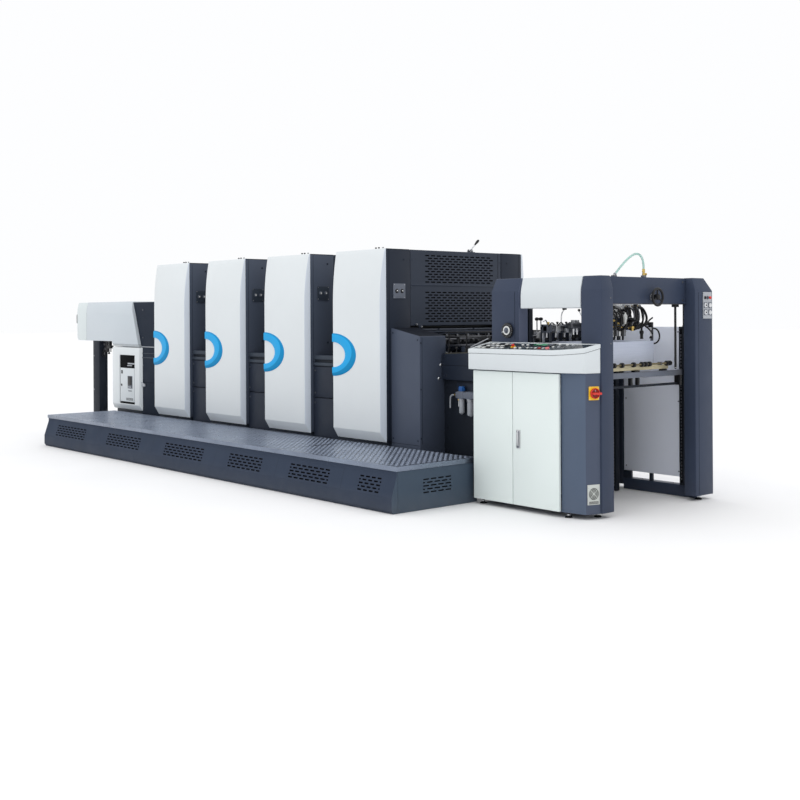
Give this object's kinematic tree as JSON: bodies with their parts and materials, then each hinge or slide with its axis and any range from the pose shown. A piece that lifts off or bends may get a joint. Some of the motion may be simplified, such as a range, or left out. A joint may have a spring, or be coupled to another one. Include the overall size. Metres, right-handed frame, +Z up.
{
  "type": "offset printing press",
  "caption": "Sheet-fed offset printing press: printing units in a row on a footboard, with a pile feeder, a control console cabinet and a chain delivery.",
  "frame": {"origin": "on the floor under the centre of the bounding box", "axes": "+X along the machine towards the feeder, +Y towards the drive side, +Z up"},
  "size_m": [8.13, 2.576, 2.1109],
  "materials": {
    "charcoal_paint": "satin charcoal paint",
    "white_paint": "satin white paint",
    "door_paint": "satin off-white paint",
    "blue_grey_paint": "satin blue-grey paint",
    "tread_aluminium": "chequered tread plate",
    "blue_accent": "blue paint",
    "steel": "machined steel",
    "black_plastic": "black moulding",
    "black_gloss": "black glossy panel",
    "black_rubber": "black rubber hose",
    "clear_hose": "translucent greenish hose",
    "brass": "brass fitting",
    "board_wood": "pale board",
    "paper": "stack of paper",
    "yellow_plastic": "yellow plate",
    "red_plastic": "red knob",
    "grey_plastic": "grey fan guard"
  },
  "bodies": {
    "press": {"air_hose": "clear_hose", "air_regulator": "steel", "blanket_cylinders": "steel", "cabinet_back": "blue_grey_paint", "cabinet_corner": "blue_grey_paint", "cabinet_floor": "blue_grey_paint", "cabinet_left_side": "blue_grey_paint", "console_panel": "black_gloss", "console_tray": "white_paint", "delivery_base_rails": "charcoal_paint", "delivery_chassis": "charcoal_paint", "delivery_control_box": "white_paint", "delivery_hood": "white_paint", "delivery_posts": "charcoal_paint", "drive_covers": "white_paint", "drive_side_frames": "charcoal_paint", "fan_guard": "grey_plastic", "feed_board": "steel", "feedboard_side_plates": "charcoal_paint", "feeder_base_rails": "blue_grey_paint", "feeder_button_panel": "steel", "feeder_hood": "white_paint", "feeder_post_operator_left": "blue_grey_paint", "feeder_post_operator_right": "blue_grey_paint", "feeder_posts_drive": "blue_grey_paint", "feeder_side_panel": "white_paint", "feeder_top_beams": "blue_grey_paint", "footboard_housing": "blue_grey_paint", "footboard_tread": "tread_aluminium", "hoist_bars": "steel", "hoist_guides": "blue_grey_paint", "hose_fittings": "brass", "infeed_housings": "charcoal_paint", "infeed_side_panels": "charcoal_paint", "ink_guards": "charcoal_paint", "inking_units": "charcoal_paint", "intermediate_housings": "charcoal_paint", "levelling_feet": "steel", "lever_bracket": "steel", "operator_covers": "white_paint", "operator_side_frames": "charcoal_paint", "paper_pile": "paper", "pile_board": "board_wood", "press_base": "charcoal_paint", "ring_accents": "blue_accent", "suction_head": "steel", "suction_hose_loop": "black_rubber", "suction_hose_main": "black_rubber", "switch_plate": "yellow_plastic", "tail_rod": "steel", "unit_button_plates": "steel", "unit_lower_housings": "charcoal_paint"},
    "door_left": {"cabinet_door_left": "door_paint"},
    "door_right": {"cabinet_door_right": "door_paint", "door_handle": "steel"},
    "main_switch": {"switch_knob": "red_plastic"},
    "handwheel": {"feeder_handwheel": "black_plastic"},
    "dial": {"feeder_dial": "black_plastic"},
    "lever": {"throw_lever": "steel", "throw_lever_grip": "black_plastic"}
  },
  "joints": [
    {"name": "left_door_hinge", "type": "hinge", "parent": "press", "child": "door_left", "pos_m": [2.932, -0.5, 0.5245], "axis": [0, 0, -1], "range_deg": [0, 90]},
    {"name": "right_door_hinge", "type": "hinge", "parent": "press", "child": "door_right", "pos_m": [3.782, -0.5, 0.5245], "axis": [0, 0, 1], "range_deg": [0, 110]},
    {"name": "main_switch_turn", "type": "hinge", "parent": "press", "child": "main_switch", "pos_m": [3.99494, -0.37721, 0.878], "axis": [0.9574, -0.2889, 0], "range_deg": [-90, 0]},
    {"name": "handwheel_turn", "type": "hinge", "parent": "press", "child": "handwheel", "pos_m": [3.987, 0.373, 1.552], "axis": [1, 0, 0], "continuous": true},
    {"name": "dial_turn", "type": "hinge", "parent": "press", "child": "dial", "pos_m": [3.135, -0.345, 1.308], "axis": [0, -1, 0], "continuous": true},
    {"name": "throw_lever_swing", "type": "hinge", "parent": "press", "child": "lever", "pos_m": [1.772, 0.612, 2.005], "axis": [1, 0, 0], "range_deg": [-15, 96]}
  ]
}
